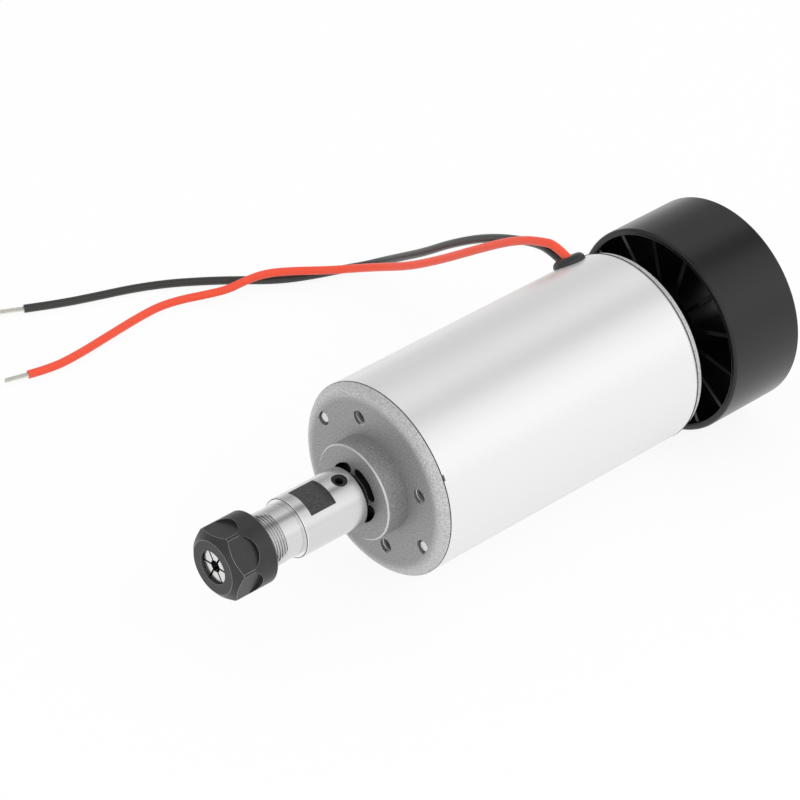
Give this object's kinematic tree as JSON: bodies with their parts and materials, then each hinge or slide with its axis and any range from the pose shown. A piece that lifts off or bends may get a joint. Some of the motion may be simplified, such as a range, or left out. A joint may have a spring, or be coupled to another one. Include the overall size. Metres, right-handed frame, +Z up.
{
  "type": "motor spindle",
  "caption": "Air-cooled brushed motor spindle: round can, flanged front bell, collet nose, shrouded rear fan, two free leads.",
  "frame": {"origin": "centre of the front mounting face, on the spindle axis", "axes": "+X along the spindle axis from the collet nose to the fan, +Z up"},
  "size_m": [0.1745, 0.1833, 0.0566],
  "materials": {
    "can": "satin nickel plate",
    "bell": "bead-blasted die casting",
    "holder": "ground and polished steel",
    "nut": "black oxide, worn light along its edges",
    "collet": "ground spring steel",
    "screw": "black oxide",
    "bolt": "zinc plate",
    "fan": "satin black moulding",
    "brass": "machined",
    "grommet": "satin moulded rubber",
    "seal": "matt rubber",
    "red_insulation": "smooth silicone insulation",
    "black_insulation": "smooth silicone insulation",
    "tinned": "tinned copper strands",
    "bearing_steel": "ground bearing steel",
    "spring_steel": "hardened spring steel",
    "magnet": "sintered ferrite",
    "lamination": "stacked electrical sheet",
    "insulator": "red fibre",
    "copper": "enamelled copper",
    "moulding": "phenolic moulding",
    "carbon": "pressed carbon"
  },
  "bodies": {
    "stator": {"motor_can": "can", "front_bell": "bell", "rear_bell": "bell", "tie_bolts": "bolt", "tie_bolt_washers": "spring_steel", "magnets": "magnet", "magnet_clips": "spring_steel", "front_outer_race": "bearing_steel", "rear_outer_race": "bearing_steel", "front_seals": "seal", "rear_seals": "seal", "bearing_retaining_ring": "spring_steel", "preload_washer": "spring_steel", "brush_card": "moulding", "brush_card_screws": "bolt", "brush_boxes": "brass", "brush_spring_1": "spring_steel", "brush_spring_2": "spring_steel", "red_inner_lead": "red_insulation", "black_inner_lead": "black_insulation", "lead_grommet": "grommet", "red_lead": "red_insulation", "black_lead": "black_insulation", "red_tinned_end": "tinned", "black_tinned_end": "tinned"},
    "rotor": {"motor_shaft": "holder", "armature_core": "lamination", "armature_insulators": "insulator", "armature_windings": "copper", "commutator_hub": "moulding", "commutator_segments": "copper", "front_inner_race": "bearing_steel", "rear_inner_race": "bearing_steel", "collet_holder": "holder", "grub_screws": "screw", "cooling_fan": "fan", "fan_bush": "brass"},
    "front_ball_set": {"front_balls": "bearing_steel", "front_cage": "brass"},
    "rear_ball_set": {"rear_balls": "bearing_steel", "rear_cage": "brass"},
    "brush_1": {"carbon_brush_1": "carbon"},
    "brush_2": {"carbon_brush_2": "carbon"},
    "collet": {"collet": "collet"},
    "nut": {"collet_nut": "nut"}
  },
  "joints": [
    {"name": "spindle_spin", "type": "hinge", "parent": "stator", "child": "rotor", "pos_m": [0, 0, 0], "axis": [1, 0, 0], "continuous": true},
    {"name": "front_ball_set_spin", "type": "hinge", "parent": "stator", "child": "front_ball_set", "pos_m": [0.0002, 0, 0], "axis": [1, 0, 0], "continuous": true},
    {"name": "rear_ball_set_spin", "type": "hinge", "parent": "stator", "child": "rear_ball_set", "pos_m": [0.0922, 0, 0], "axis": [1, 0, 0], "continuous": true},
    {"name": "collet_slide", "type": "slide", "parent": "rotor", "child": "collet", "axis": [-1, 0, 0], "range_m": [0, 0.006]},
    {"name": "nut_turn", "type": "hinge", "parent": "collet", "child": "nut", "pos_m": [-0.0447, 0, 0], "axis": [-1, 0, 0], "range_deg": [0, 2880]},
    {"name": "brush_1_slide", "type": "slide", "parent": "stator", "child": "brush_1", "axis": [0, -0.4818, 0.8763], "range_m": [0, 0.002], "stiffness_N_per_m": 80, "springref_m": -0.006, "deforming": ["brush_spring_1"]},
    {"name": "brush_2_slide", "type": "slide", "parent": "stator", "child": "brush_2", "axis": [0, 0.4818, -0.8763], "range_m": [0, 0.002], "stiffness_N_per_m": 80, "springref_m": -0.006, "deforming": ["brush_spring_2"]}
  ],
  "couplings": [
    {"joint": "front_ball_set_spin", "follows": "spindle_spin", "ratio": 0.368},
    {"joint": "rear_ball_set_spin", "follows": "spindle_spin", "ratio": 0.368},
    {"joint": "nut_turn", "follows": "collet_slide", "rad_per_m": 8377.6}
  ]
}
